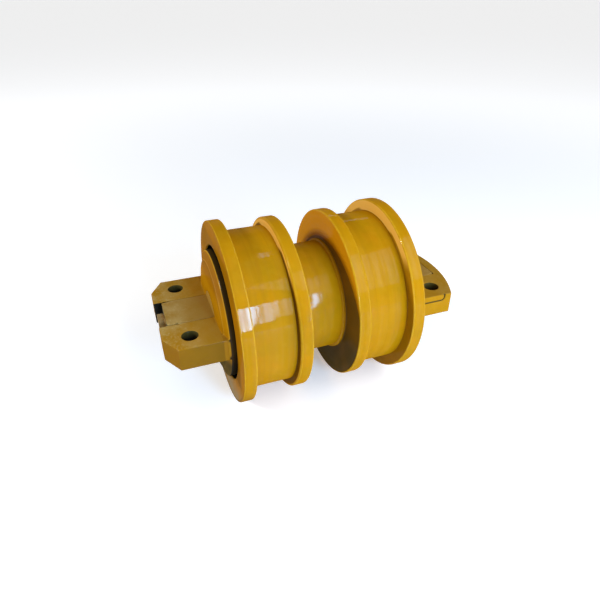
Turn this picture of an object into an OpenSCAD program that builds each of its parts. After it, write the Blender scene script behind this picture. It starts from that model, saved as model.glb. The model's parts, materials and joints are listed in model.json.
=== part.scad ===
// Double-flange track roller for a crawler undercarriage, lubricated for life.
//
// The forged shell turns on two flanged bushings over a fixed shaft. Cast end collars
// carry the shaft and bolt up under the track frame through their machined seats.
// A face seal at each end keeps the oil in: two metal rings, each on a rubber toric ring.
//
// Frame: the origin is the centre of the roller, +Y is its axis of rotation and +Z points
// up through the seats. "Left" is the -Y end, "right" is the +Y end.

/* [Roller shell] */
// Length of the shell over its two end faces
shell_length = 244; // [240:1:250]
// Diameter of the outer flanges
outer_flange_d = 250; // [244:1:256]
// Diameter of the inner flanges
inner_flange_d = 240; // [232:1:244]
// Diameter of the treads that run on the chain links
tread_d = 218; // [216:1:224]
// Width of each outer flange
outer_flange_w = 17; // [15:0.5:20]
// Width of each inner flange
inner_flange_w = 17; // [14:0.5:20]
// Width of each tread
tread_w = 57; // [53:1:58]
// Diameter of the waist between the inner flanges
waist_d = 153; // [140:1:158]
// Diameter of the turned shoulder beside each inner flange
shoulder_d = 159; // [159:1:170]
// Width of that shoulder
shoulder_w = 5; // [3:0.5:8]
// Bevel on the flange edges
edge_bevel = 2; // [1:0.5:3]
// Fillet between a tread and its flanges
tread_fillet = 3; // [2:0.5:5]
// Diameter of the bore that holds the bushings
shell_bore_d = 100; // [99:0.5:102]
// Diameter of the counterbore in each end face
counterbore_d = 186; // [184:1:190]
// Depth of that counterbore
counterbore_depth = 36; // [34:1:37]

/* [Shaft] */
// Diameter of the two journals
journal_d = 75; // [72:0.5:76]
// Diameter of the shaft ends that carry the collars
shaft_end_d = 64.4; // [62:0.2:66]
// Length of the shaft
shaft_length = 391; // [386:1:394]
// Diameter of the thrust flange at mid length
thrust_flange_d = 96; // [90:1:98]
// Width of the thrust flange
thrust_flange_w = 20; // [14:1:26]
// Length of the lead-in taper at each shaft end
lead_taper_length = 13; // [4:1:14]
// Depth of that taper
lead_taper_depth = 2; // [1:0.5:3]

/* [Collars] */
// Diameter of the collar disc inside the shell's counterbore
disc_d = 175; // [173:1:178]
// How far the rim of the disc stands proud of the shell
disc_proud = 6.5; // [4:0.5:7]
// How far the middle of the disc stands proud of the shell
hub_proud = 12.7; // [11:0.1:15]
// Height of the seat above the roller's axis
seat_height = 14.3; // [12:0.1:18]
// Thickness of the mounting wings
wing_thickness = 30.6; // [24:0.2:32]
// Width over the two wings
wing_width = 172; // [160:1:172]
// Distance from the shell's end face to the square end of the left collar
square_reach = 84; // [80:0.1:86]
// Length of the corner cuts on that end, along the axis
corner_cut_length = 16; // [8:0.1:18]
// Width of the corner cuts on that end, across the axis
corner_cut_width = 28; // [12:0.1:28]
// Distance from the shell's end face to the tip of the right collar's rounded end
rounded_reach = 89; // [88:0.1:92]
// Radius of that rounded end, seen from above
rounded_end_r = 178; // [150:1:200]
// Diameter of the mounting bolt holes
bolt_hole_d = 20; // [18:0.5:22]
// Distance between the two bolt holes of a collar
bolt_spacing = 120; // [118:1:130]
// Distance from the shell's end face to the bolt holes
bolt_reach = 50; // [44:1:54]
// Diameter of the boss round the shaft under the wings
boss_d = 96; // [90:1:96]

/* [Bushings and seals] */
// Radial running clearance between journal and bushing
running_clearance = 0.05; // [0.02:0.01:0.09]
// Thickness of the bushing flange
bushing_flange_w = 14; // [13:0.5:15]
// Number of bolts that hold each bushing flange
bushing_bolts = 6; // [4:1:8]
// Diameter of the seal faces
seal_face_d = 128; // [126:1:130]
// Section diameter of the toric rings
toric_section_d = 8; // [6:0.2:8]

/* [Hidden] */
$fn = 96;

paint = [0.74, 0.54, 0.08];
steel = [0.62, 0.63, 0.65];
bronze = [0.72, 0.52, 0.28];
dark_steel = [0.30, 0.31, 0.33];
rubber = [0.08, 0.08, 0.09];

fit_gap = 0.02;                  // radial gap of a pressed or shrunk joint
cut = 200;                       // reach of a cutting block past the solid
half_shell = shell_length / 2;
groove_outer = half_shell - outer_flange_w;
groove_inner = groove_outer - tread_w;
waist_half = groove_inner - inner_flange_w;
counterbore_floor = half_shell - counterbore_depth;

// Bushing and the seal cavity it forms with the collar
journal_end = half_shell - 24;   // shoulder that the collar is pushed against
bushing_end = journal_end - 2;
thrust_gap = 0.4;
flange_face = counterbore_floor + bushing_flange_w;
seal_plane = flange_face + 4;    // where the two seal faces run together
seal_gap = 0.05;
cavity_depth = 8;
cavity_inner_r = 50;
cavity_floor_r = 66.5;
cavity_mouth_r = 69;
seal_ring_bore_r = 51.5;
seal_ring_heel_r = 57;
seal_ring_neck_r = 59;
toric_r = 62.7;
toric_from_plane = cavity_depth + 4 - toric_section_d / 2 - 0.15;
bushing_bolt_circle_r = 80;
bushing_bolt_d = 8;
washer_d = 15;
washer_t = 2;
bolt_head_h = 5.3;
bolt_head_r = 7.5;
spotface_r = 9;
spotface_depth = 4;
spotface_floor = flange_face - spotface_depth;
bolt_tip = counterbore_floor - 16;

// Collar
collar_back = 2 * seal_plane - flange_face;
cavity_back = collar_back + cavity_depth;
hub_r = 46;
hub_end = journal_end + 0.2;
disc_r = disc_d / 2;
rim_edge = half_shell + disc_proud;
hub_face = half_shell + hub_proud;
wing_start = half_shell + 2;
wing_half = wing_width / 2;
square_end = half_shell + square_reach;
rounded_end = half_shell + rounded_reach;
blind_end = shaft_length / 2 + 0.4;    // bottom of the right collar's blind bore
blind_wall = 10;                 // metal left beyond it
o_ring_groove_w = 4;
o_ring_groove_depth = 3.2;
bolt_y = half_shell + bolt_reach;
pin_d = 10;
pin_y = half_shell + 38;
pin_top = -8;
pin_hole_length = 80;
stake_r = 2;                     // staking mark on the joint between shaft and left collar
stake_y = half_shell + 61;
stake_depth = 1.8;

// Raised locating pad on the front wing of the right collar, outlined by a shallow groove
pad_start = hub_face + 6;
pad_end = half_shell + 55;
pad_h = 8;
pad_corner_r = 3;
pad_groove_w = 2.4;
pad_groove_depth = 2.4;
o_ring_section_r = 1.5;
bushing_o_ring_r = 1.3;

// Oil passage and its plug, in the left end of the shaft
oil_bore_r = 4;
feed_bore_r = 3;
feed_y = (journal_end + thrust_flange_w / 2) / 2;
plug_shank_r = 9;
plug_shank_length = 12;
plug_seal_t = 1.5;
plug_head_af = 19;
plug_head_h = 7.6;
shaft_end_y = shaft_length / 2;

// Points of an arc in a profile, from angle a0 to a1
function arc(centre, r, a0, a1, steps = 4) = [
  for (i = [0 : steps]) let (a = a0 + (a1 - a0) * i / steps)
    centre + r * [cos(a), sin(a)]
];

// A solid of revolution about the roller's axis, from a profile of [radius, y] points
module turned() {
  rotate([-90, 0, 0]) rotate_extrude() children();
}

// The same solid at the left end, turned half a circle about the vertical
module at_left() {
  rotate([0, 0, 180]) children();
}

// A cylinder along the roller's axis
module along_axis(r, y0, y1) {
  translate([0, y0, 0]) rotate([-90, 0, 0]) cylinder(r = r, h = y1 - y0);
}

// Children repeated on the circle of the bushing bolts
module on_bolt_circle() {
  for (i = [0 : bushing_bolts - 1])
    rotate([0, 360 * i / bushing_bolts, 0])
      translate([bushing_bolt_circle_r, 0, 0]) children();
}

// ---- Roller shell: two forged halves, butt welded at the middle of the waist ----

module shell_half() {
  ro = outer_flange_d / 2;
  ri = inner_flange_d / 2;
  rt = tread_d / 2;
  rw = waist_d / 2;
  rs = shoulder_d / 2;
  rc = counterbore_d / 2;
  color(paint) difference() {
    turned() polygon(concat(
      [[shell_bore_d / 2, 0], [rw, 0], [rw, waist_half - shoulder_w],
       [rs, waist_half - shoulder_w + 1]],
      arc([rs + tread_fillet, waist_half - tread_fillet], tread_fillet, 180, 90),
      [[ri - edge_bevel, waist_half], [ri, waist_half + edge_bevel],
       [ri, groove_inner - edge_bevel], [ri - edge_bevel, groove_inner]],
      arc([rt + tread_fillet, groove_inner + tread_fillet], tread_fillet, 270, 180),
      arc([rt + tread_fillet, groove_outer - tread_fillet], tread_fillet, 180, 90),
      [[ro - edge_bevel, groove_outer], [ro, groove_outer + edge_bevel],
       [ro, half_shell - edge_bevel], [ro - edge_bevel, half_shell],
       [rc + 1, half_shell], [rc, half_shell - 1], [rc, counterbore_floor],
       [shell_bore_d / 2, counterbore_floor]]));
    on_bolt_circle()
      along_axis(bushing_bolt_d / 2 + fit_gap, bolt_tip - 2, counterbore_floor + 1);
  }
}

module roller_shell_right() shell_half();
module roller_shell_left() at_left() shell_half();

// ---- Cuts that the shaft and a collar share ----

module pin_hole() {
  translate([0, pin_y, pin_top + 0.5 - pin_hole_length])
    cylinder(r = pin_d / 2 + fit_gap, h = pin_hole_length);
}

module stake_mark() {
  chord = sqrt(pow(shaft_end_d / 2, 2) - pow(seat_height, 2));
  translate([-chord, stake_y, seat_height - stake_depth]) cylinder(r = stake_r, h = cut);
}

// ---- Shaft ----

module shaft_blank() {
  re = shaft_end_d / 2;
  rj = journal_d / 2;
  rt = thrust_flange_d / 2;
  half = [
    [rt - 1, thrust_flange_w / 2], [rj, thrust_flange_w / 2],
    [rj, journal_end - 1], [rj - 1, journal_end], [re, journal_end],
    [re, shaft_end_y - lead_taper_length], [re - lead_taper_depth, shaft_end_y],
    [0, shaft_end_y]
  ];
  turned() polygon(concat(
    [[0, -shaft_end_y]],
    [for (i = [len(half) - 2 : -1 : 0]) [half[i][0], -half[i][1]]],
    [[rt, 1 - thrust_flange_w / 2], [rt, thrust_flange_w / 2 - 1]],
    half));
}

module shaft() {
  color(steel) difference() {
    shaft_blank();
    for (side = [-1, 1])
      translate([-cut / 2, side > 0 ? hub_face : -hub_face - cut, seat_height])
        cube([cut, cut, cut]);
    // Oil passage from the filler plug, with a cross hole to each journal
    along_axis(oil_bore_r, -shaft_end_y - 1, feed_y + 2 * feed_bore_r);
    along_axis(plug_shank_r + fit_gap, -shaft_end_y - 1,
               -shaft_end_y + plug_shank_length + 1);
    for (side = [-1, 1])
      translate([0, side * feed_y, 0]) cylinder(r = feed_bore_r, h = journal_d);
    pin_hole();
    at_left() pin_hole();
    at_left() stake_mark();
  }
}

// ---- Collars ----

module square_outline() {
  polygon([
    [-wing_half, wing_start], [wing_half, wing_start],
    [wing_half, square_end - corner_cut_length], [wing_half - corner_cut_width, square_end],
    [corner_cut_width - wing_half, square_end], [-wing_half, square_end - corner_cut_length]
  ]);
}

module rounded_outline() {
  intersection() {
    translate([-wing_half, wing_start]) square([wing_width, rounded_reach]);
    translate([0, rounded_end - rounded_end_r]) circle(r = rounded_end_r);
  }
}

module disc_and_hub() {
  turned() polygon([
    [shaft_end_d / 2 - 2, hub_end], [hub_r - 1, hub_end], [hub_r, hub_end + 1],
    [hub_r, cavity_back], [cavity_floor_r, cavity_back], [cavity_mouth_r, collar_back],
    [disc_r, collar_back], [disc_r, rim_edge - 1.5], [disc_r - 1.5, rim_edge],
    [disc_r - 9, rim_edge + 2.2], [disc_r - 16, rim_edge + 5],
    [disc_r - 22, hub_face - 0.5], [disc_r - 28, hub_face],
    [shaft_end_d / 2 - 2, hub_face]
  ]);
}

// The half-round boss under the wings, up to end_y
module boss(end_y) {
  intersection() {
    turned() polygon([
      [0, wing_start], [boss_d / 2, wing_start], [boss_d / 2, end_y - 5],
      [boss_d / 2 - 5, end_y], [0, end_y]
    ]);
    translate([-cut / 2, 0, -cut]) cube([cut, 2 * cut, cut]);
  }
}

// A collar whose bore ends at bore_end; the children are the outline of its wings
module collar_casting(boss_end, bore_end) {
  difference() {
    union() {
      disc_and_hub();
      boss(boss_end);
      translate([0, 0, seat_height - wing_thickness])
        linear_extrude(wing_thickness) children();
    }
    along_axis(shaft_end_d / 2 + fit_gap, 0, bore_end);
    turned() translate([shaft_end_d / 2, collar_back])
      square([o_ring_groove_depth, o_ring_groove_w]);
    for (side = [-1, 1])
      translate([side * bolt_spacing / 2, bolt_y, -cut / 2])
        cylinder(d = bolt_hole_d, h = cut);
    pin_hole();
  }
}

// Side view of the locating pad, grown by the width of the groove round it
module pad_outline(grow) {
  y1 = pad_end + grow;
  z0 = seat_height - pad_h - grow;
  r = pad_corner_r + grow;
  polygon(concat(
    [[y1, seat_height + 1], [pad_start, seat_height + 1], [pad_start, z0]],
    arc([y1 - r, z0 + r], r, -90, 0)));
}

module pad_groove() {
  translate([wing_half - pad_groove_depth, 0, 0])
    rotate([90, 0, 90])
      linear_extrude(cut) difference() {
        pad_outline(pad_groove_w);
        pad_outline(0);
      }
}

// The right collar has a blind bore and a rounded end
module collar_right() {
  color(paint) difference() {
    collar_casting(blind_end + blind_wall, blind_end) rounded_outline();
    pad_groove();
  }
}

// The left collar is open at its end, so that the oil plug can be reached
module collar_left() {
  color(paint) at_left() difference() {
    collar_casting(square_end - 3, square_end + 1) square_outline();
    stake_mark();
  }
}

module lock_pin() {
  color(dark_steel) translate([0, pin_y, -boss_d / 2 + 1])
    cylinder(d = pin_d, h = boss_d / 2 - 1 + pin_top);
}
module lock_pin_right() lock_pin();
module lock_pin_left() at_left() lock_pin();

module collar_o_ring() {
  color(rubber) turned()
    translate([shaft_end_d / 2 + o_ring_section_r + 0.05, collar_back + 2])
      circle(r = o_ring_section_r, $fn = 32);
}
module collar_o_ring_right() collar_o_ring();
module collar_o_ring_left() at_left() collar_o_ring();

// ---- Oil plug ----

module oil_plug() {
  y_face = -shaft_end_y - plug_seal_t;
  color(steel) {
    along_axis(plug_shank_r, y_face, -shaft_end_y + plug_shank_length);
    translate([-plug_head_af / 2, y_face - plug_head_h, -plug_head_af / 2])
      cube([plug_head_af, plug_head_h, plug_head_af]);
  }
}

module oil_plug_seal() {
  color(bronze) difference() {
    along_axis(plug_shank_r + 3, -shaft_end_y - plug_seal_t, -shaft_end_y);
    along_axis(plug_shank_r + fit_gap, -shaft_end_y - 3, -shaft_end_y + 1);
  }
}

// ---- Bushings, their bolts and their O-rings ----

module bushing() {
  rb = journal_d / 2 + running_clearance;
  rh = shell_bore_d / 2 - fit_gap;
  rf = counterbore_d / 2 - fit_gap;
  groove_y = counterbore_floor + 5;
  color(bronze) difference() {
    turned() polygon([
      [rb, thrust_flange_w / 2 + thrust_gap], [rh - 1, thrust_flange_w / 2 + thrust_gap],
      [rh, thrust_flange_w / 2 + thrust_gap + 1], [rh, counterbore_floor],
      [rf, counterbore_floor], [rf, groove_y], [rf - 2.8, groove_y],
      [rf - 2.8, groove_y + 3.6], [rf, groove_y + 3.6], [rf, flange_face],
      [cavity_mouth_r, flange_face], [cavity_floor_r, flange_face - cavity_depth],
      [cavity_inner_r, flange_face - cavity_depth], [cavity_inner_r, bushing_end - 1],
      [cavity_inner_r - 1, bushing_end], [rb, bushing_end]
    ]);
    on_bolt_circle() {
      along_axis(bushing_bolt_d / 2 + 0.3, 0, cut);
      along_axis(spotface_r, spotface_floor, cut);
    }
  }
}
module bushing_right() bushing();
module bushing_left() at_left() bushing();

module bushing_bolts() {
  color(dark_steel) on_bolt_circle() {
    along_axis(bushing_bolt_d / 2, bolt_tip, spotface_floor + washer_t);
    translate([0, spotface_floor + washer_t, 0]) rotate([-90, 0, 0])
      cylinder(r = bolt_head_r, h = bolt_head_h, $fn = 6);
  }
}
module bushing_bolts_right() bushing_bolts();
module bushing_bolts_left() at_left() bushing_bolts();

module lock_washers() {
  color(steel) on_bolt_circle() difference() {
    along_axis(washer_d / 2, spotface_floor, spotface_floor + washer_t);
    along_axis(bushing_bolt_d / 2 + 0.1, spotface_floor - 1, spotface_floor + washer_t + 1);
  }
}
module lock_washers_right() lock_washers();
module lock_washers_left() at_left() lock_washers();

module bushing_o_ring() {
  r = bushing_o_ring_r;
  color(rubber) turned()
    translate([counterbore_d / 2 - r - 0.05, counterbore_floor + 6.8]) circle(r = r, $fn = 32);
}
module bushing_o_ring_right() bushing_o_ring();
module bushing_o_ring_left() at_left() bushing_o_ring();

// ---- Face seals: one metal ring and one toric ring fixed, one of each rotating ----

// side is 1 for the fixed half, on the collar, and -1 for the rotating half
module seal_ring(side) {
  color(steel) turned() translate([0, seal_plane]) mirror([0, side < 0 ? 1 : 0]) polygon([
    [seal_ring_bore_r, seal_gap], [seal_face_d / 2, seal_gap], [seal_face_d / 2, 3],
    [seal_ring_neck_r, 4.5], [seal_ring_heel_r, 10], [seal_ring_bore_r, 10]
  ]);
}
module fixed_seal_ring_right() seal_ring(1);
module fixed_seal_ring_left() at_left() seal_ring(1);
module rotating_seal_ring_right() seal_ring(-1);
module rotating_seal_ring_left() at_left() seal_ring(-1);

module toric_ring(side) {
  color(rubber) turned() translate([toric_r, seal_plane + side * toric_from_plane])
    circle(d = toric_section_d, $fn = 48);
}
module fixed_toric_ring_right() toric_ring(1);
module fixed_toric_ring_left() at_left() toric_ring(1);
module rotating_toric_ring_right() toric_ring(-1);
module rotating_toric_ring_left() at_left() toric_ring(-1);

shaft();
collar_left();
collar_right();
lock_pin_left();
lock_pin_right();
collar_o_ring_left();
collar_o_ring_right();
oil_plug();
oil_plug_seal();
fixed_seal_ring_left();
fixed_seal_ring_right();
fixed_toric_ring_left();
fixed_toric_ring_right();
roller_shell_left();
roller_shell_right();
bushing_left();
bushing_right();
bushing_bolts_left();
bushing_bolts_right();
lock_washers_left();
lock_washers_right();
bushing_o_ring_left();
bushing_o_ring_right();
rotating_seal_ring_left();
rotating_seal_ring_right();
rotating_toric_ring_left();
rotating_toric_ring_right();
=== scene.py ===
"""The look of a double-flange track roller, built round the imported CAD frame. Metres throughout."""

import json
import math

import bpy
import numpy as np
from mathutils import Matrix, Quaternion, Vector


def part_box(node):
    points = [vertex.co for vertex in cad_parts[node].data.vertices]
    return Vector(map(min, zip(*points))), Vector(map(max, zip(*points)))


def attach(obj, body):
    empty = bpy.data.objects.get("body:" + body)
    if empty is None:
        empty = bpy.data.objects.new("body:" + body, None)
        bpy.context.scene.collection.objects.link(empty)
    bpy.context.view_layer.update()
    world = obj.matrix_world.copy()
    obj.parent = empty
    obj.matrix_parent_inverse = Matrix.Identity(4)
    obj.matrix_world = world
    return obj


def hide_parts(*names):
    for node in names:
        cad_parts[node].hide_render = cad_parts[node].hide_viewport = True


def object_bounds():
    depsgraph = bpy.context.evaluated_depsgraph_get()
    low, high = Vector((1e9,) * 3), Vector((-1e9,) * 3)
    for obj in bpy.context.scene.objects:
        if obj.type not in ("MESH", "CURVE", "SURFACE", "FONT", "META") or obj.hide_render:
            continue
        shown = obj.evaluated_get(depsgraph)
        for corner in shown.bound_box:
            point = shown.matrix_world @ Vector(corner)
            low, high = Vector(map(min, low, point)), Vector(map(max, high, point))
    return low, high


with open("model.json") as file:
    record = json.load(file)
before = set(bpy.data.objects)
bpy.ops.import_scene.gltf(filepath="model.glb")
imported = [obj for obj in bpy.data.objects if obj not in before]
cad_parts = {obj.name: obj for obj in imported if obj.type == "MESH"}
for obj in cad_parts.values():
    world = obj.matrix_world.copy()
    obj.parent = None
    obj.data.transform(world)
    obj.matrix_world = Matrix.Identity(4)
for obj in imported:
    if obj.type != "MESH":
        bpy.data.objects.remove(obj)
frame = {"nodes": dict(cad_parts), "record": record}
cad_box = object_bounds()

MM = 0.001

# ---- Camera: the photograph's viewing angle ----

CAMERA_AZIMUTH = 69.7
CAMERA_ELEVATION = 32.1
CAMERA_DISTANCE = 0.718
CAMERA_AIM = Vector((0.001, -0.006, -0.005))
CAMERA_LENS = 29.9


def direction(azimuth, elevation):
    """Unit vector from the object towards a point at that azimuth and elevation, in degrees."""
    a, e = math.radians(azimuth), math.radians(elevation)
    return Vector((math.sin(a) * math.cos(e), -math.cos(a) * math.cos(e), math.sin(e)))


def add_object(name, data):
    thing = bpy.data.objects.new(name, data)
    bpy.context.scene.collection.objects.link(thing)
    return thing


def make_camera():
    data = bpy.data.cameras.new("camera")
    data.lens = CAMERA_LENS
    camera = add_object("camera", data)
    back = direction(CAMERA_AZIMUTH, CAMERA_ELEVATION)
    camera.location = CAMERA_AIM + back * CAMERA_DISTANCE
    camera.rotation_mode = "QUATERNION"
    camera.rotation_quaternion = (-back).to_track_quat("-Z", "Y")
    bpy.context.scene.camera = camera


make_camera()

# ---- Sizes ----

# Read from the frame
SHELL_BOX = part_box("roller_shell_right")
HALF_SHELL = SHELL_BOX[1].y
FLANGE_R = SHELL_BOX[1].x
SHAFT_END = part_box("shaft")[1].y
BOLTS = next(m for m in frame["record"]["mounts"] if m["name"] == "frame_bolts")
SEAT_Z = BOLTS["pos_m"][2]
BOLT_X = BOLTS["dims"]["spacing_x_mm"] / 2 * MM
BOLT_Y = BOLTS["dims"]["spacing_y_mm"] / 2 * MM
BOLT_R = BOLTS["dims"]["hole_r_mm"] * MM

# As in part.scad
SHAFT_R = 32.2 * MM             # bore of the collars
DISC_R = 87.5 * MM              # the collars' discs, which close the shell's counterbores
STEP_R = DISC_R - 13 * MM       # step on the disc
HUB_FACE = 134.7 * MM           # distance from the middle to the outer face of the disc
WING_HALF = 86 * MM             # from the axis to the side of a collar
INNER_FLANGE_R = 120 * MM
TREAD_R = 109 * MM
WAIST_R = 76.5 * MM
SHOULDER_R = 79.5 * MM
COUNTERBORE_R = 93 * MM
SHELL_BORE_R = 50 * MM
OUTER_FLANGE_W = 17 * MM
TREAD_W = 57 * MM
INNER_FLANGE_W = 17 * MM
SHOULDER_W = 5 * MM
COUNTERBORE_DEPTH = 36 * MM


# ---- Node helpers ----


MARK_STRETCH = 0.004    # metres of texture per radian round the axis


class Nodes:
    """A material's node tree, with short calls for the nodes used here."""

    def __init__(self, name):
        self.material = bpy.data.materials.new(name)
        self.material.use_nodes = True
        self.tree = self.material.node_tree
        self.shader = self.tree.nodes["Principled BSDF"]

    def add(self, kind, **settings):
        node = self.tree.nodes.new(kind)
        for key, value in settings.items():
            setattr(node, key, value)
        return node

    def link(self, source, target):
        self.tree.links.new(source, target)

    def feed(self, socket, value):
        """Links a socket, or sets a constant on it."""
        if isinstance(value, bpy.types.NodeSocket):
            self.link(value, socket)
        else:
            socket.default_value = value

    def math(self, operation, a, b=0.0, clamp=False):
        node = self.add("ShaderNodeMath", operation=operation, use_clamp=clamp)
        self.feed(node.inputs[0], a)
        self.feed(node.inputs[1], b)
        return node.outputs[0]

    def ramp(self, value, low, high):
        """0 below low, 1 above high, smooth between; low above high turns it round."""
        node = self.add("ShaderNodeMapRange", interpolation_type="SMOOTHSTEP")
        flip = low > high
        self.feed(node.inputs["Value"], value)
        node.inputs["From Min"].default_value = min(low, high)
        node.inputs["From Max"].default_value = max(low, high)
        node.inputs["To Min"].default_value = 1.0 if flip else 0.0
        node.inputs["To Max"].default_value = 0.0 if flip else 1.0
        return node.outputs[0]

    def mix(self, factor, a, b):
        """Mixes two colours."""
        node = self.add("ShaderNodeMix", data_type="RGBA")
        self.feed(node.inputs[0], factor)
        self.feed(node.inputs[6], a)
        self.feed(node.inputs[7], b)
        return node.outputs[2]

    def noise(self, vector, scale, detail=4.0, roughness=0.55):
        node = self.add("ShaderNodeTexNoise")
        node.inputs["Scale"].default_value = scale
        node.inputs["Detail"].default_value = detail
        node.inputs["Roughness"].default_value = roughness
        self.link(vector, node.inputs["Vector"])
        return node.outputs["Fac"]

    def split(self, vector):
        node = self.add("ShaderNodeSeparateXYZ")
        self.link(vector, node.inputs[0])
        return node.outputs

    def times(self, first, *others):
        """Product of two or more values."""
        for other in others:
            first = self.math("MULTIPLY", first, other)
        return first

    def rest(self, value):
        """What is left of 1."""
        return self.math("SUBTRACT", 1.0, value)

    def spread(self, value, low, high):
        """Spreads a value from 0 to 1 over the range from low to high."""
        return self.math("ADD", self.times(value, high - low), low)

    def distance(self, a, b):
        """Length of the vector (a, b)."""
        return self.math("SQRT", self.math("ADD", self.times(a, a), self.times(b, b)))

    def join(self, x, y, z):
        node = self.add("ShaderNodeCombineXYZ")
        for socket, value in zip(node.inputs, (x, y, z)):
            self.feed(socket, value)
        return node.outputs[0]

    def bump(self, height, strength, distance, below=None):
        node = self.add("ShaderNodeBump")
        node.inputs["Strength"].default_value = strength
        node.inputs["Distance"].default_value = distance
        self.link(height, node.inputs["Height"])
        if below is not None:
            self.link(below, node.inputs["Normal"])
        return node.outputs[0]

    def object_coordinates(self):
        return self.add("ShaderNodeTexCoord").outputs["Object"]

    def turned_vector(self):
        """Coordinates for marks that run round the y axis, and the distance from it."""
        x, y, z = self.split(self.object_coordinates())
        radius = self.distance(x, z)
        angle = self.math("ABSOLUTE", self.math("ARCTAN2", z, x))
        return self.join(y, radius, self.times(angle, MARK_STRETCH)), radius

    def mark(self, name):
        """One of the marks painted on the shell's points."""
        return self.add("ShaderNodeAttribute", attribute_name=name).outputs["Fac"]

    def cover(self, colour, amount, paint):
        """Lays an amount of another paint over the colour."""
        return self.mix(amount, colour, rgba(paint))

    def shade(self, values):
        """Sets or links the shader's inputs."""
        for name, value in values.items():
            self.feed(self.shader.inputs[name], value)


def rgba(colour):
    return (*colour, 1.0)


# ---- Materials ----

OCHRE = (0.43, 0.196, 0.002)
OCHRE_DEEP = (0.35, 0.148, 0.002)
OCHRE_LIGHT = (0.52, 0.280, 0.012)
OLIVE = (0.34, 0.182, 0.002)
ORANGE = (0.50, 0.190, 0.003)
RUSSET = (0.235, 0.088, 0.002)
DUST = (0.45, 0.320, 0.105)
# Grey for the end faces low down
LOW_GREY = (0.20, 0.165, 0.095)
SEAT_OCHRE = (0.32, 0.160, 0.010)
SEAT_OCHRE_DEEP = (0.27, 0.145, 0.015)
PLUG_BROWN = (0.22, 0.12, 0.02)
PLUG_DUST = (0.30, 0.19, 0.07)
# Painted shade, dark brown: a band on the end faces, and the left collar
PAINTED_SHADE_UMBER = (0.14, 0.062, 0.002)
# Painted light, pale: the flanks near the top, and along the step on the disc
PAINTED_LIGHT_PALE = (0.82, 0.46, 0.085)
# Painted shade, brown: creases, lower flanks, the lower left rim and inside the disc's step
PAINTED_SHADE_BROWN = (0.115, 0.052, 0.003)
# Painted shade, dark: holes, undersides, the pad's groove, the shaft's end and the round shadow by the waist
PAINTED_SHADE_DARK = (0.050, 0.042, 0.012)
# Painted shade, black: the counterbore, the gap round the disc, deep in the holes and in the bore
PAINTED_SHADE_BLACK = (0.008, 0.008, 0.006)
COAT_IOR = 3.0          # high, with a low weight, so that grazing faces don't turn white
STEEL = (0.56, 0.57, 0.58)


def paint_shader(n, colour, roughness, normal, coat_normal, coat, coat_roughness=0.05):
    """Dull paint under a thin clear coat, which gives all of the gloss."""
    n.shade({
        "Base Color": colour, "Roughness": roughness, "Normal": normal, "Specular IOR Level": 0.0,
        "Coat Weight": coat, "Coat IOR": COAT_IOR, "Coat Roughness": coat_roughness, "Coat Normal": coat_normal,
    })


def mottled_ochre(n, where):
    """Sprayed enamel: broad drifts of tone and small cloudy patches."""
    broad = n.ramp(n.noise(where, 13.0, 3.0), 0.35, 0.7)
    greenish = n.ramp(n.noise(where, 24.0, 4.0), 0.42, 0.66)
    warm = n.ramp(n.noise(where, 33.0, 5.0), 0.5, 0.72)
    cloudy = n.ramp(n.noise(where, 75.0, 4.0), 0.45, 0.75)
    colour = n.cover(rgba(OCHRE), n.times(broad, 0.5), OCHRE_DEEP)
    colour = n.cover(colour, n.times(greenish, 0.4), OLIVE)
    colour = n.cover(colour, n.times(warm, 0.35), ORANGE)
    return n.cover(colour, n.times(cloudy, 0.15), OCHRE_LIGHT)


def shell_paint():
    """Glossy enamel over turned steel, with fine marks round the roller, and black painted shade in the counterbore.
    """
    n = Nodes("shell_paint")
    where = n.object_coordinates()
    x, y, z = n.split(where)
    turned, radius = n.turned_vector()
    streak = n.noise(turned, 620.0, 3.0, 0.6)
    broad_streak = n.noise(turned, 150.0, 2.0, 0.5)
    colour = mottled_ochre(n, where)
    colour = n.cover(colour, n.times(n.ramp(streak, 0.5, 0.8), 0.16), OCHRE_LIGHT)
    colour = n.cover(colour, n.times(n.ramp(broad_streak, 0.5, 0.68), 0.3), OCHRE_DEEP)
    colour = edges_and_flanks(n, colour, where, z, radius)
    colour = waist_tint_and_painted_shadow(n, colour, where, x, z)
    colour = end_face_tone_and_painted_shade(n, colour, where, y, z)
    # Painted shade: the left outer flange's rim turns browner low down
    left_rim = n.times(n.ramp(radius, FLANGE_R - 5 * MM, FLANGE_R - 2 * MM), n.ramp(y, -90 * MM, -100 * MM))
    colour = n.cover(colour, n.times(left_rim, n.ramp(z, -35 * MM, -90 * MM), 0.45), PAINTED_SHADE_BROWN)
    # Painted shade: black in the counterbore and the bore
    colour = n.cover(colour, n.mark("inside"), PAINTED_SHADE_BLACK)
    roughness = n.spread(n.noise(turned, 500.0, 3.0), 0.3, 0.5)
    peel = n.bump(n.noise(where, 300.0, 3.0), 0.14, 0.5 * MM)
    waves = n.bump(broad_streak, 0.25, 0.8 * MM, peel)
    normal = n.bump(streak, 0.3, 0.25 * MM, waves)
    film = n.bump(n.noise(where, 140.0, 3.0), 0.014, 0.5 * MM)
    film = n.bump(streak, 0.03, 0.25 * MM, film)
    gloss = n.spread(n.ramp(n.noise(turned, 230.0, 2.0, 0.5), 0.4, 0.6), 0.02, 0.05)
    paint_shader(n, colour, roughness, normal, film, coat=gloss)
    return n.material


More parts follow.
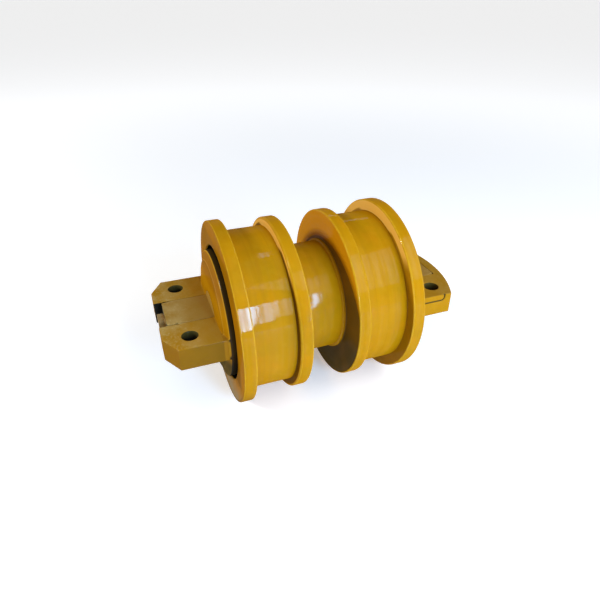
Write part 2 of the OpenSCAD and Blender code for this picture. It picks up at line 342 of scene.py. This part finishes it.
def edges_and_flanks(n, colour, where, z, radius):
    """Worn edges, and painted shade in the corners. The flanks beside the treads have painted shade, brown, low down,
    and painted light, pale, near the top of the roller.
    """
    patchy = n.ramp(n.noise(where, 120.0, 4.0), 0.3, 0.65)
    colour = n.cover(colour, n.times(n.mark("edge"), n.spread(patchy, 0.3, 0.8)), OCHRE_LIGHT)
    # Painted shade in the creases
    colour = n.cover(colour, n.times(n.mark("crease"), 0.5), PAINTED_SHADE_BROWN)
    flank = n.mark("flank")
    near_top = n.ramp(z, 68 * MM, 92 * MM)
    at_tread = n.times(n.ramp(radius, 113 * MM, 111.5 * MM), n.ramp(z, 104.5 * MM, 99 * MM))
    # Painted shade on the flanks low down and by the tread, painted light near the top
    brown = n.math("MAXIMUM", n.rest(near_top), at_tread)
    colour = n.cover(colour, n.times(flank, brown), PAINTED_SHADE_BROWN)
    off_tread = n.math("MAXIMUM", n.ramp(radius, 112.5 * MM, 114 * MM), n.ramp(z, 100 * MM, 104.5 * MM))
    return n.cover(colour, n.times(n.ramp(flank, 0.1, 0.3), off_tread, near_top, 0.65), PAINTED_LIGHT_PALE)


def waist_tint_and_painted_shadow(n, colour, where, x, z):
    """The faces on each side of the waist: orange, with a round painted shadow that leaves a crescent lit, darker
    below.
    """
    waist = n.mark("waist")
    # A round painted shadow, offset down and to the side
    off_centre_x, off_centre_z = n.math("SUBTRACT", x, 12 * MM), n.math("ADD", z, 34 * MM)
    stain_and_painted_shadow = n.ramp(n.distance(off_centre_x, off_centre_z), 120.5 * MM, 118 * MM)
    uneven = n.spread(n.ramp(n.noise(where, 16.0, 4.0), 0.25, 0.6), 0.75, 0.9)
    darker_below = n.spread(n.ramp(z, 0.0, -40 * MM), 0.8, 1.0)
    colour = n.cover(colour, n.times(waist, 0.6), ORANGE)
    return n.cover(colour, n.times(waist, uneven, stain_and_painted_shadow, darker_below), PAINTED_SHADE_DARK)


def end_face_tone_and_painted_shade(n, colour, where, y, z):
    """The end faces are browner, with a band of painted shade towards the top, and grey and patchy low down."""
    on_end = n.ramp(n.math("ABSOLUTE", y), HALF_SHELL - 0.9 * MM, HALF_SHELL - 0.3 * MM)
    colour = n.cover(colour, n.times(on_end, 0.8), RUSSET)
    # Painted shade: a band towards the top of the end faces
    dark_band = n.times(n.ramp(z, 50 * MM, 75 * MM), n.ramp(z, 108 * MM, 98 * MM))
    colour = n.cover(colour, n.times(on_end, dark_band, 0.42), PAINTED_SHADE_UMBER)
    low_patches = n.ramp(n.noise(where, 40.0, 4.0), 0.2, 0.6)
    return n.cover(colour, n.times(on_end, n.ramp(z, -50 * MM, -105 * MM), low_patches, 0.8), LOW_GREY)


def seat_mask(n, z, normal_z):
    """1 on the upward faces at the height of the seats."""
    level = n.times(n.ramp(z, SEAT_Z - 1.5 * MM, SEAT_Z - 0.5 * MM),
                    n.ramp(z, SEAT_Z + 1.5 * MM, SEAT_Z + 0.6 * MM))
    return n.times(n.ramp(normal_z, 0.7, 0.95), level)


def seat_dust(n, where, y):
    """How much dust lies on the seats: drifts and specks, more towards the ends and on the left."""
    drift = n.ramp(n.noise(where, 38.0, 5.0), 0.3, 0.7)
    specks = n.ramp(n.noise(where, 260.0, 4.0), 0.5, 0.7)
    amount = n.math("ADD", n.times(drift, 0.35), n.times(specks, 0.2))
    on_left = n.rest(n.times(n.ramp(y, -0.1, 0.1), 0.7))
    outward = n.ramp(n.math("ABSOLUTE", y), HALF_SHELL + 25 * MM, HALF_SHELL + 75 * MM)
    return n.math("MULTIPLY", n.times(amount, on_left), n.spread(outward, 0.3, 2.0), clamp=True)


def casting_paint(name):
    """Enamel on a casting: rounder grain, dust on the machined seats, and painted shade in the holes, on the left
    collar and underneath.
    """
    n = Nodes(name)
    where = n.object_coordinates()
    x, y, z = n.split(where)
    normal_z = n.split(n.add("ShaderNodeNewGeometry").outputs["True Normal"])[2]
    radius, along = n.distance(x, z), n.math("ABSOLUTE", y)
    on_seat = seat_mask(n, z, normal_z)
    not_seat = n.rest(on_seat)
    colour = mottled_ochre(n, where)
    colour = n.cover(colour, n.times(on_seat, 0.7), SEAT_OCHRE)
    colour = n.cover(colour, n.times(on_seat, seat_dust(n, where, y)), DUST)
    # Browner disc, more so above, and painted shade darkening the left collar off its seats
    on_disc = n.ramp(along, HUB_FACE + 1.5 * MM, HUB_FACE + 0.5 * MM)
    colour = n.cover(colour, n.times(on_disc, n.spread(n.ramp(z, 40 * MM, 65 * MM), 0.4, 0.9)), RUSSET)
    at_left = n.times(n.ramp(y, -HUB_FACE, -HUB_FACE - 1.5 * MM), not_seat)
    colour = n.cover(colour, n.times(at_left, n.spread(n.noise(where, 22.0), 0.6, 0.9)), PAINTED_SHADE_UMBER)
    colour = dark_holes(n, colour, x, z, radius, along, not_seat)
    colour = disc_step(n, colour, radius, along)
    # Painted shade underneath, in patches
    below = n.times(n.ramp(z, -14 * MM, -34 * MM), n.ramp(n.noise(where, 30.0), 0.1, 0.45))
    colour = n.cover(colour, n.times(below, 0.85), PAINTED_SHADE_DARK)
    colour = disc_rim(n, colour, z, radius, along)
    colour = pad_groove(n, colour, x, y, z, not_seat)
    grain = n.noise(where, 260.0, 5.0, 0.6)
    lumps = n.noise(where, 60.0, 3.0)
    roughness = n.math("ADD", n.spread(n.noise(where, 90.0), 0.38, 0.58), n.times(on_seat, 0.3))
    normal = n.bump(grain, 0.3, 0.35 * MM, n.bump(lumps, 0.35, 0.8 * MM))
    paint_shader(n, colour, roughness, normal, normal, coat=0.03, coat_roughness=0.18)
    return n.material


def dark_holes(n, colour, x, z, radius, along, not_seat):
    """Painted shade in the bolt holes, black deep down, and black painted shade in the bore round the shaft's end."""
    from_bolt_x = n.math("SUBTRACT", n.math("ABSOLUTE", x), BOLT_X)
    from_bolt_y = n.math("SUBTRACT", along, BOLT_Y)
    in_hole = n.ramp(n.distance(from_bolt_x, from_bolt_y), BOLT_R + 0.9 * MM, BOLT_R + 0.3 * MM)
    colour = n.cover(colour, n.times(in_hole, 0.95), PAINTED_SHADE_DARK)
    colour = n.cover(colour, n.times(in_hole, n.ramp(z, SEAT_Z - 2 * MM, SEAT_Z - 14 * MM)), PAINTED_SHADE_BLACK)
    in_bore = n.times(n.ramp(radius, SHAFT_R + 1.2 * MM, SHAFT_R + 0.3 * MM),
                      n.ramp(along, HUB_FACE + 2 * MM, HUB_FACE + 6 * MM), not_seat)
    return n.cover(colour, in_bore, PAINTED_SHADE_BLACK)


def disc_step(n, colour, radius, along):
    """A painted highlight along the step of the disc, and painted shade just inside it."""
    on_face = n.ramp(along, HUB_FACE + 1.5 * MM, HUB_FACE)
    dark = n.times(n.ramp(radius, STEP_R - 4 * MM, STEP_R - 2 * MM),
                   n.ramp(radius, STEP_R - 0.6 * MM, STEP_R - 1.6 * MM), on_face)
    light = n.times(n.ramp(n.math("ABSOLUTE", n.math("SUBTRACT", radius, STEP_R)), 1.1 * MM, 0.3 * MM), on_face)
    colour = n.cover(colour, n.times(dark, 0.3), PAINTED_SHADE_BROWN)
    return n.cover(colour, n.times(light, 0.12), PAINTED_LIGHT_PALE)


def disc_rim(n, colour, z, radius, along):
    """A painted highlight along the disc's edge above, black painted shade on its side, and on what lies inside the
    shell.
    """
    near_shell = n.ramp(along, HALF_SHELL + 9 * MM, HALF_SHELL + 7 * MM)
    # Painted highlight on the edge, above only; painted shade on the side and inside the shell
    edge = n.times(n.ramp(radius, DISC_R - 2.6 * MM, DISC_R - 1.6 * MM), near_shell, n.ramp(z, -20 * MM, -5 * MM))
    side = n.times(n.ramp(radius, DISC_R - 1.0 * MM, DISC_R - 0.4 * MM), near_shell)
    colour = n.cover(colour, n.times(edge, 0.6), OCHRE_LIGHT)
    colour = n.cover(colour, n.times(side, 0.92), PAINTED_SHADE_BLACK)
    return n.cover(colour, n.ramp(along, HALF_SHELL + 1 * MM, HALF_SHELL - 1 * MM), PAINTED_SHADE_BLACK)


def pad_groove(n, colour, x, y, z, not_seat):
    """Painted shade in the groove round the pad on the right collar's front wing."""
    across = n.times(n.ramp(x, WING_HALF - 3.2 * MM, WING_HALF - 2.6 * MM),
                     n.ramp(x, WING_HALF - 0.5 * MM, WING_HALF - 1.3 * MM))
    along = n.times(n.ramp(y, 138 * MM, 139 * MM), n.ramp(y, 182 * MM, 181 * MM))
    return n.cover(colour, n.times(across, along, n.ramp(z, 2 * MM, 3 * MM), not_seat, 0.9), PAINTED_SHADE_DARK)


def seat_steel():
    """The shaft: overspray and dust outside, painted shade on its end, ground steel inside the roller."""
    n = Nodes("seat_steel")
    where = n.object_coordinates()
    x, y, z = n.split(where)
    normal_z = n.split(n.add("ShaderNodeNewGeometry").outputs["True Normal"])[2]
    along = n.math("ABSOLUTE", y)
    outside = n.ramp(along, HALF_SHELL, HALF_SHELL + 2 * MM)
    milled = n.noise(n.join(n.times(x, 3.0), n.times(y, 40.0), z), 60.0, 3.0)
    film = n.cover(rgba(SEAT_OCHRE), n.times(milled, 0.5), SEAT_OCHRE_DEEP)
    film = n.cover(film, seat_dust(n, where, y), DUST)
    # Painted shade on the sides of the shaft's end
    end_face = n.ramp(along, SHAFT_END - 1.0 * MM, SHAFT_END - 0.3 * MM)
    film = n.cover(film, n.times(n.rest(n.ramp(normal_z, 0.2, 0.8)), end_face, 0.85), PAINTED_SHADE_DARK)
    n.shade({
        "Base Color": n.mix(outside, rgba(STEEL), film),
        "Metallic": n.math("SUBTRACT", 1.0, outside, clamp=True),
        "Roughness": n.spread(milled, 0.5, 0.7),
        "Specular IOR Level": 0.25,
        "Normal": n.bump(milled, 0.25, 0.2 * MM),
    })
    return n.material


def plug_steel():
    """The oil plug: a thin coat of paint and dust over steel."""
    n = Nodes("plug_steel")
    where = n.object_coordinates()
    patchy = n.ramp(n.noise(where, 160.0), 0.35, 0.65)
    n.shade({
        "Base Color": n.cover(rgba(PLUG_BROWN), patchy, PLUG_DUST),
        "Roughness": n.spread(patchy, 0.45, 0.65),
        "Specular IOR Level": 0.25,
        "Normal": n.bump(n.noise(where, 500.0), 0.3, 0.2 * MM),
    })
    return n.material


def turned_metal(name, colour, roughness, mark=0.2):
    """Bare turned metal: fine rings round the axis and slight staining."""
    n = Nodes(name)
    turned, _ = n.turned_vector()
    rings = n.noise(turned, 1500.0, 3.0)
    stain_and_painted_shadow = n.ramp(n.noise(n.object_coordinates(), 50.0), 0.4, 0.7)
    darker = tuple(0.6 * c for c in colour)
    n.shade({
        "Base Color": n.cover(rgba(colour), n.times(stain_and_painted_shadow, 0.5), darker),
        "Metallic": 1.0,
        "Roughness": n.spread(rings, roughness, roughness + 0.2),
        "Normal": n.bump(rings, mark, 0.1 * MM),
    })
    return n.material


def dull_solid(name, colour, roughness, metallic=0.0):
    """Rubber or phosphated steel: even colour with fine grain."""
    n = Nodes(name)
    grain = n.noise(n.object_coordinates(), 900.0)
    lighter = tuple(min(1.0, 1.6 * c) for c in colour)
    n.shade({
        "Base Color": n.cover(rgba(colour), grain, lighter),
        "Metallic": metallic,
        "Roughness": n.spread(grain, roughness - 0.1, roughness + 0.1),
        "Normal": n.bump(grain, 0.3, 0.1 * MM),
    })
    return n.material


MATERIALS = {
    "paint": casting_paint("casting_paint"),
    "seat_paint": seat_steel(),
    "steel": turned_metal("ground_steel", STEEL, 0.2),
    "dark_steel": dull_solid("dark_steel", (0.05, 0.05, 0.055), 0.5, 0.8),
    "seal_metal": turned_metal("lapped_steel", (0.68, 0.69, 0.70), 0.12, 0.08),
    "bronze": turned_metal("bronze", (0.62, 0.40, 0.16), 0.25),
    "rubber": dull_solid("rubber", (0.02, 0.02, 0.02), 0.6),
}
SHELL_PAINT = shell_paint()


def dress(piece, material):
    piece.data.materials.clear()
    piece.data.materials.append(material)


def dress_cad_nodes():
    for part in frame["record"]["subparts"]:
        dress(frame["nodes"][part["node"]], MATERIALS[part["material_slot"]])


# ---- Shell ----

PAINT_MARKS = ("edge", "crease", "inside", "waist", "flank")


class Profile:
    """Points [radius, y] of a turned section, each with the marks that the paint reads."""

    def __init__(self):
        self.points = []
        self.marks = []

    def to(self, r, y, **marks):
        self.points.append((r, y))
        self.marks.append([marks.get(name, 0.0) for name in PAINT_MARKS])

    def line(self, r, y, spacing=4 * MM, **marks):
        """A straight run to (r, y), cut into short steps, with a point close to each end that keeps the run flat."""
        r0, y0 = self.points[-1]
        length = math.hypot(r - r0, y - y0)
        steps = max(1, round(length / spacing))
        near_end = min(0.25 * MM / length, 0.3 / steps)
        for t in [near_end, *(i / steps for i in range(1, steps)), 1 - near_end, 1]:
            self.to(r0 + (r - r0) * t, y0 + (y - y0) * t, **marks)

    def arc(self, centre_r, centre_y, radius, start, end, steps=6, **marks):
        for i in range(steps + 1):
            a = math.radians(start + (end - start) * i / steps)
            self.to(centre_r + radius * math.cos(a), centre_y + radius * math.sin(a), **marks)


def shell_profile():
    """Half of the shell, from the weld at the middle of the waist to the right end face and back down the bore."""
    groove_outer = HALF_SHELL - OUTER_FLANGE_W
    groove_inner = groove_outer - TREAD_W
    waist_end = groove_inner - INNER_FLANGE_W
    shoulder = waist_end - SHOULDER_W
    bevel, round_edge = 1.7 * MM, 2.8 * MM
    fillet, waist_fillet = 0.7 * MM, 1.4 * MM
    small = 1 * MM
    p = Profile()
    p.to(SHELL_BORE_R, 0, inside=1.0)
    p.to(WAIST_R, 0)
    # Waist, shoulder and inner flange
    p.line(WAIST_R, shoulder)
    p.arc(SHOULDER_R - small, shoulder + 1.6 * MM, small, -60, 0, steps=3, edge=0.8)
    p.line(SHOULDER_R, waist_end - waist_fillet)
    p.arc(SHOULDER_R + waist_fillet, waist_end - waist_fillet, waist_fillet, 180, 90, crease=1.0, waist=1.0)
    p.line(INNER_FLANGE_R - bevel, waist_end, waist=1.0)
    p.arc(INNER_FLANGE_R - bevel, waist_end + bevel, bevel, -90, 0, edge=1.0)
    p.line(INNER_FLANGE_R, groove_inner - round_edge)
    p.arc(INNER_FLANGE_R - round_edge, groove_inner - round_edge, round_edge, 0, 90, edge=0.6)
    # Groove for the rail, with the tread as its bottom
    p.line(TREAD_R + 5 * MM, groove_inner, flank=0.8)
    p.line(TREAD_R + fillet, groove_inner, flank=0.8, crease=0.8)
    p.arc(TREAD_R + fillet, groove_inner + fillet, fillet, 270, 180, crease=1.0, flank=0.8)
    p.line(TREAD_R, groove_outer - fillet)
    p.arc(TREAD_R + fillet, groove_outer - fillet, fillet, 180, 90, crease=1.0)
    # Outer flange and end face
    p.line(FLANGE_R - bevel, groove_outer, flank=0.4)
    p.arc(FLANGE_R - bevel, groove_outer + bevel, bevel, -90, 0, edge=1.0)
    p.line(FLANGE_R, HALF_SHELL - bevel)
    p.arc(FLANGE_R - bevel, HALF_SHELL - bevel, bevel, 0, 90, edge=1.0)
    p.line(COUNTERBORE_R + small, HALF_SHELL)
    p.arc(COUNTERBORE_R + small, HALF_SHELL - small, small, 90, 180, steps=3, edge=0.6)
    # Counterbore
    p.to(COUNTERBORE_R, HALF_SHELL - 2.5 * MM, inside=1.0)
    p.line(COUNTERBORE_R, HALF_SHELL - COUNTERBORE_DEPTH, inside=1.0)
    p.line(SHELL_BORE_R, HALF_SHELL - COUNTERBORE_DEPTH, spacing=20 * MM, inside=1.0)
    return p


def turned_mesh(name, profile, mirror_y, segments=288):
    """A closed solid of revolution about the y axis, its points carrying the paint marks. mirror_y: the left half."""
    points = np.array(profile.points)
    count = len(points)
    angles = np.arange(segments) * 2 * math.pi / segments
    sign = -1.0 if mirror_y else 1.0
    r, y = points[:, 0], points[:, 1] * sign
    verts = np.stack([np.outer(np.cos(angles), r), np.tile(y, (segments, 1)), np.outer(np.sin(angles), r)], -1)
    ring, along = np.meshgrid(np.arange(segments), np.arange(count), indexing="ij")
    ring_next = (ring + 1) % segments
    along_next = (along + 1) % count
    quads = np.stack([ring * count + along, ring * count + along_next,
                      ring_next * count + along_next, ring_next * count + along], -1)
    if mirror_y:
        quads = quads[..., ::-1]
    mesh = bpy.data.meshes.new(name)
    mesh.from_pydata(verts.reshape(-1, 3).tolist(), [], quads.reshape(-1, 4).tolist())
    for index, attribute in enumerate(PAINT_MARKS):
        values = np.tile(np.array(profile.marks)[:, index], segments).astype(np.float32)
        mesh.attributes.new(attribute, "FLOAT", "POINT").data.foreach_set("value", values)
    mesh.polygons.foreach_set("use_smooth", [True] * len(mesh.polygons))
    return add_object(name, mesh)


def build_shell():
    profile = shell_profile()
    for side, mirror_y in (("left", True), ("right", False)):
        piece = turned_mesh(f"shell_{side}", profile, mirror_y)
        dress(piece, SHELL_PAINT)
        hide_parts(f"roller_shell_{side}")
        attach(piece, "roller")


# ---- Castings: a fine skin over the CAD solid, with softened edges ----


def soft_skin(name, node, voxel, passes):
    """A copy of a CAD node, remeshed finely and smoothed so that its edges are round like a painted casting's."""
    piece = add_object(name, frame["nodes"][node].data.copy())
    remesh = piece.modifiers.new("remesh", "REMESH")
    remesh.mode = "VOXEL"
    remesh.voxel_size = voxel
    smooth = piece.modifiers.new("smooth", "SMOOTH")
    smooth.factor = 0.5
    smooth.iterations = passes
    bpy.context.view_layer.update()
    baked = bpy.data.meshes.new_from_object(piece.evaluated_get(bpy.context.evaluated_depsgraph_get()))
    piece.modifiers.clear()
    piece.data = baked
    baked.name = name
    baked.polygons.foreach_set("use_smooth", [True] * len(baked.polygons))
    return piece


def build_castings():
    for side in ("left", "right"):
        piece = soft_skin(f"end_collar_{side}", f"collar_{side}", 0.8 * MM, 4)
        dress(piece, MATERIALS["paint"])
        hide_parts(f"collar_{side}")
        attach(piece, "axle")
    plug = soft_skin("filler_plug", "oil_plug", 0.5 * MM, 3)
    dress(plug, plug_steel())
    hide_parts("oil_plug")
    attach(plug, "axle")


# ---- Floor and light ----


FLOOR_HALF = 60.0       # far enough for its edge to lie at the horizon
WHITE = (1.0, 1.0, 1.0, 1.0)
PALE_GREY = (0.9, 0.9, 0.9, 1.0)


def make_floor():
    """Pale floor, lit a little by itself and more so far away, where the lights don't reach."""
    mesh = bpy.data.meshes.new("floor")
    half, level = FLOOR_HALF, cad_box[0].z
    corners = [(-half, -half, level), (half, -half, level), (half, half, level), (-half, half, level)]
    mesh.from_pydata(corners, [], [(0, 1, 2, 3)])
    floor = add_object("floor", mesh)
    n = Nodes("floor")
    x, y, _ = n.split(n.object_coordinates())
    far = n.ramp(n.distance(x, y), 0.5, 2.6)
    n.shade({
        "Base Color": PALE_GREY, "Roughness": 0.9, "Specular IOR Level": 0.1,
        "Emission Color": WHITE, "Emission Strength": n.spread(far, 0.3, 0.7),
    })
    dress(floor, n.material)


def make_world():
    """Dim light from above, brighter towards the horizon so that it meets the floor."""
    world = bpy.data.worlds.new("studio")
    bpy.context.scene.world = world
    world.use_nodes = True
    nodes, links = world.node_tree.nodes, world.node_tree.links
    split = nodes.new("ShaderNodeSeparateXYZ")
    level = nodes.new("ShaderNodeMapRange")
    level.interpolation_type = "SMOOTHSTEP"
    for key, value in (("From Min", 0.05), ("From Max", 0.50), ("To Min", 0.85), ("To Max", 0.10)):
        level.inputs[key].default_value = value
    nodes["Background"].inputs["Color"].default_value = WHITE
    links.new(nodes.new("ShaderNodeTexCoord").outputs["Generated"], split.inputs[0])
    links.new(split.outputs[2], level.inputs["Value"])
    links.new(level.outputs[0], nodes["Background"].inputs["Strength"])


WINDOW_BLUE = (0.36, 0.62, 1.0)
WARM = (1.0, 0.90, 0.76)
WARM_PALE = (1.0, 0.93, 0.83)


def soft_light(name, azimuth, elevation, distance, width, height, power, colour=(1, 1, 1), lean=0.0):
    """A rectangular light aimed at the object; lean turns its top towards greater azimuths, in degrees."""
    data = bpy.data.lights.new(name, "AREA")
    data.shape = "RECTANGLE"
    data.size, data.size_y = width, height
    data.energy = power
    data.color = colour
    light = add_object(name, data)
    towards = direction(azimuth, elevation)
    light.location = towards * distance
    light.rotation_mode = "QUATERNION"
    light.rotation_quaternion = towards.to_track_quat("Z", "Y") @ Quaternion((0, 0, 1), -math.radians(lean))


def make_lights():
    """Azimuth, elevation, distance, width, height and power of each. The enamel mirrors the window's panes."""
    soft_light("window_left_pane", 97.9, 19.0, 2.6, 0.17, 1.2, 44.0, WINDOW_BLUE, lean=5.0)
    soft_light("window_middle_pane", 101.8, 20.5, 2.6, 0.10, 1.15, 10.0, WINDOW_BLUE, lean=6.0)
    soft_light("window_right_pane", 104.5, 22.5, 2.6, 0.11, 1.0, 3.2, WINDOW_BLUE, lean=6.0)
    soft_light("window_edge", 109.0, 17.0, 2.6, 0.04, 1.4, 12.0, WINDOW_BLUE, lean=8.0)
    soft_light("left_key", -10.0, 26.0, 2.4, 0.3, 0.3, 36.0)
    soft_light("front_high", 90.0, 40.0, 2.2, 2.4, 1.8, 6.9, WARM)
    soft_light("overhead", 90.0, 72.0, 2.2, 2.2, 2.0, 5.4, WARM_PALE)
    soft_light("right_high", 150.0, 35.0, 2.2, 1.8, 1.6, 5.7)
    soft_light("right_low", 150.0, 8.0, 2.4, 1.8, 0.8, 5.0)
    soft_light("right_near", 133.0, 42.0, 1.0, 0.7, 0.7, 4.2)
    soft_light("skylight", 225.0, 73.0, 2.4, 0.07, 0.32, 0.6, WINDOW_BLUE, lean=-45.0)
    soft_light("rear_window", 241.0, 29.0, 2.4, 0.30, 0.12, 0.9, WINDOW_BLUE)
    bpy.context.scene.view_settings.view_transform = "Standard"


dress_cad_nodes()
build_shell()
build_castings()
make_floor()
make_world()
make_lights()
